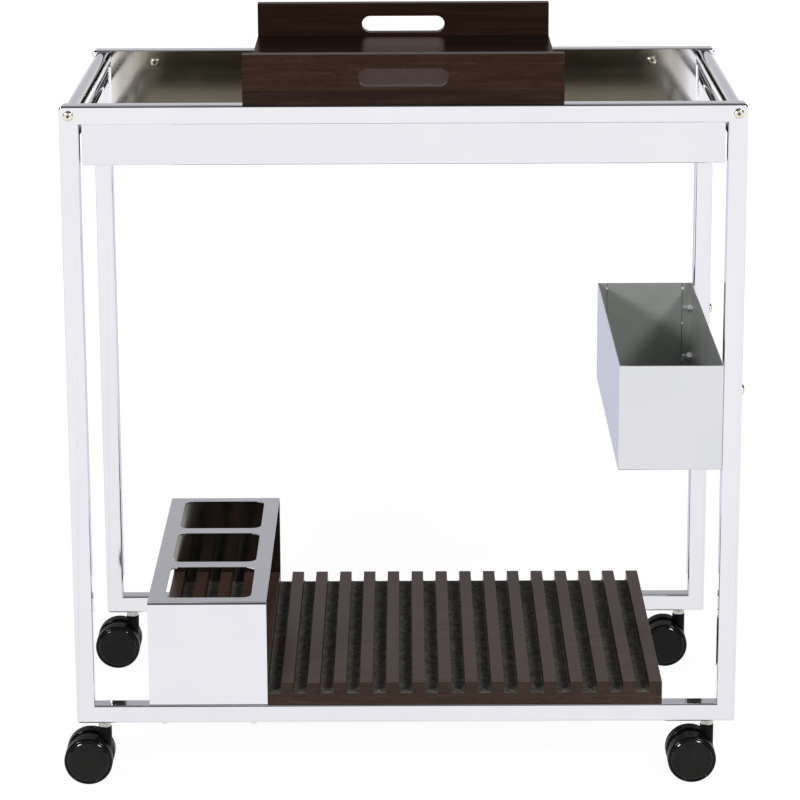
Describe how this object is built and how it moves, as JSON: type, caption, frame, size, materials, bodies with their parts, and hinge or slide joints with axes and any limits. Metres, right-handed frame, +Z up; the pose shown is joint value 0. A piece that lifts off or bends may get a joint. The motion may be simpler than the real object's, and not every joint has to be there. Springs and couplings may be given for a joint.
{
  "type": "service cart",
  "caption": "Narrow chrome tube serving trolley on swivel casters with a loose wooden tray over a sheet trough, a side bin, a slatted wooden shelf and a bottle rack.",
  "frame": {"origin": "on the floor under the middle of the whole cart's box, with the casters trailing to the left", "axes": "+X to the right seen from the front, +Y from the front frame to the rear frame, +Z up"},
  "size_m": [0.6962, 0.405, 0.758],
  "materials": {
    "chrome_tube": "polished chrome plate on square and round steel tube",
    "stem_chrome": "bright plated caster stem",
    "nickel_fastener": "nickel plated fasteners",
    "zinc_steel": "zinc plated hidden steel pieces",
    "trough_sheet": "bright folded stainless sheet with a faint grain",
    "rack_sheet": "fine brushed stainless sheet",
    "bin_sheet": "fine brushed stainless sheet, spot-welded corners",
    "tray_wood": "dark brown stained wood with a satin lacquer",
    "board_wood": "dark brown stained slatted wood, matt grooves",
    "caster_plastic": "black moulded nylon, glossy",
    "cap_plastic": "black moulded nylon, fine matt"
  },
  "bodies": {
    "cart_frame": {"front_left_post": "chrome_tube", "front_right_post": "chrome_tube", "rear_left_post": "chrome_tube", "rear_right_post": "chrome_tube", "front_top_rail": "chrome_tube", "front_bottom_rail": "chrome_tube", "rear_top_rail": "chrome_tube", "rear_bottom_rail": "chrome_tube", "left_handle_tube": "chrome_tube", "right_handle_tube": "chrome_tube", "left_guard_rod": "chrome_tube", "right_guard_rod": "chrome_tube", "handle_tube_inserts": "zinc_steel", "caster_weld_nuts": "zinc_steel", "board_screws": "zinc_steel", "bin_studs": "zinc_steel", "handle_bolts": "nickel_fastener", "trough_screws": "nickel_fastener", "rack_screws": "nickel_fastener", "bin_bolts": "nickel_fastener", "bin_nuts": "nickel_fastener", "trough": "trough_sheet", "slatted_board": "board_wood", "bottle_rack": "rack_sheet", "bin_cradle": "bin_sheet", "bin_inner_side": "bin_sheet", "bin_post_side": "bin_sheet", "front_left_caster_stem": "stem_chrome", "front_right_caster_stem": "stem_chrome", "rear_left_caster_stem": "stem_chrome", "rear_right_caster_stem": "stem_chrome"},
    "serving_tray": {"tray_base": "tray_wood", "tray_front_panel": "tray_wood", "tray_rear_panel": "tray_wood", "tray_screws": "zinc_steel"},
    "front_left_caster_swivel": {"front_left_caster_hood": "caster_plastic", "front_left_caster_axle": "zinc_steel"},
    "front_left_caster_front_roller": {"front_left_caster_front_wheel": "caster_plastic", "front_left_caster_front_cap": "cap_plastic"},
    "front_left_caster_rear_roller": {"front_left_caster_rear_wheel": "caster_plastic", "front_left_caster_rear_cap": "cap_plastic"},
    "front_right_caster_swivel": {"front_right_caster_hood": "caster_plastic", "front_right_caster_axle": "zinc_steel"},
    "front_right_caster_front_roller": {"front_right_caster_front_wheel": "caster_plastic", "front_right_caster_front_cap": "cap_plastic"},
    "front_right_caster_rear_roller": {"front_right_caster_rear_wheel": "caster_plastic", "front_right_caster_rear_cap": "cap_plastic"},
    "rear_left_caster_swivel": {"rear_left_caster_hood": "caster_plastic", "rear_left_caster_axle": "zinc_steel"},
    "rear_left_caster_front_roller": {"rear_left_caster_front_wheel": "caster_plastic", "rear_left_caster_front_cap": "cap_plastic"},
    "rear_left_caster_rear_roller": {"rear_left_caster_rear_wheel": "caster_plastic", "rear_left_caster_rear_cap": "cap_plastic"},
    "rear_right_caster_swivel": {"rear_right_caster_hood": "caster_plastic", "rear_right_caster_axle": "zinc_steel"},
    "rear_right_caster_front_roller": {"rear_right_caster_front_wheel": "caster_plastic", "rear_right_caster_front_cap": "cap_plastic"},
    "rear_right_caster_rear_roller": {"rear_right_caster_rear_wheel": "caster_plastic", "rear_right_caster_rear_cap": "cap_plastic"}
  },
  "joints": [
    {"name": "serving_tray_lift", "type": "slide", "parent": "cart_frame", "child": "serving_tray", "axis": [0, 0, 1], "range_m": [0, 0.15]},
    {"name": "front_left_caster_swivel_turn", "type": "hinge", "parent": "cart_frame", "child": "front_left_caster_swivel", "pos_m": [-0.3067, -0.1805, 0.05], "axis": [0, 0, 1], "continuous": true},
    {"name": "front_left_caster_front_roller_spin", "type": "hinge", "parent": "front_left_caster_swivel", "child": "front_left_caster_front_roller", "pos_m": [-0.3231, -0.19475, 0.025], "axis": [0, 1, 0], "continuous": true},
    {"name": "front_left_caster_rear_roller_spin", "type": "hinge", "parent": "front_left_caster_swivel", "child": "front_left_caster_rear_roller", "pos_m": [-0.3231, -0.16625, 0.025], "axis": [0, 1, 0], "continuous": true},
    {"name": "front_right_caster_swivel_turn", "type": "hinge", "parent": "cart_frame", "child": "front_right_caster_swivel", "pos_m": [0.3173, -0.1805, 0.05], "axis": [0, 0, 1], "continuous": true},
    {"name": "front_right_caster_front_roller_spin", "type": "hinge", "parent": "front_right_caster_swivel", "child": "front_right_caster_front_roller", "pos_m": [0.3009, -0.19475, 0.025], "axis": [0, 1, 0], "continuous": true},
    {"name": "front_right_caster_rear_roller_spin", "type": "hinge", "parent": "front_right_caster_swivel", "child": "front_right_caster_rear_roller", "pos_m": [0.3009, -0.16625, 0.025], "axis": [0, 1, 0], "continuous": true},
    {"name": "rear_left_caster_swivel_turn", "type": "hinge", "parent": "cart_frame", "child": "rear_left_caster_swivel", "pos_m": [-0.3067, 0.1805, 0.05], "axis": [0, 0, 1], "continuous": true},
    {"name": "rear_left_caster_front_roller_spin", "type": "hinge", "parent": "rear_left_caster_swivel", "child": "rear_left_caster_front_roller", "pos_m": [-0.3231, 0.16625, 0.025], "axis": [0, 1, 0], "continuous": true},
    {"name": "rear_left_caster_rear_roller_spin", "type": "hinge", "parent": "rear_left_caster_swivel", "child": "rear_left_caster_rear_roller", "pos_m": [-0.3231, 0.19475, 0.025], "axis": [0, 1, 0], "continuous": true},
    {"name": "rear_right_caster_swivel_turn", "type": "hinge", "parent": "cart_frame", "child": "rear_right_caster_swivel", "pos_m": [0.3173, 0.1805, 0.05], "axis": [0, 0, 1], "continuous": true},
    {"name": "rear_right_caster_front_roller_spin", "type": "hinge", "parent": "rear_right_caster_swivel", "child": "rear_right_caster_front_roller", "pos_m": [0.3009, 0.16625, 0.025], "axis": [0, 1, 0], "continuous": true},
    {"name": "rear_right_caster_rear_roller_spin", "type": "hinge", "parent": "rear_right_caster_swivel", "child": "rear_right_caster_rear_roller", "pos_m": [0.3009, 0.19475, 0.025], "axis": [0, 1, 0], "continuous": true}
  ]
}
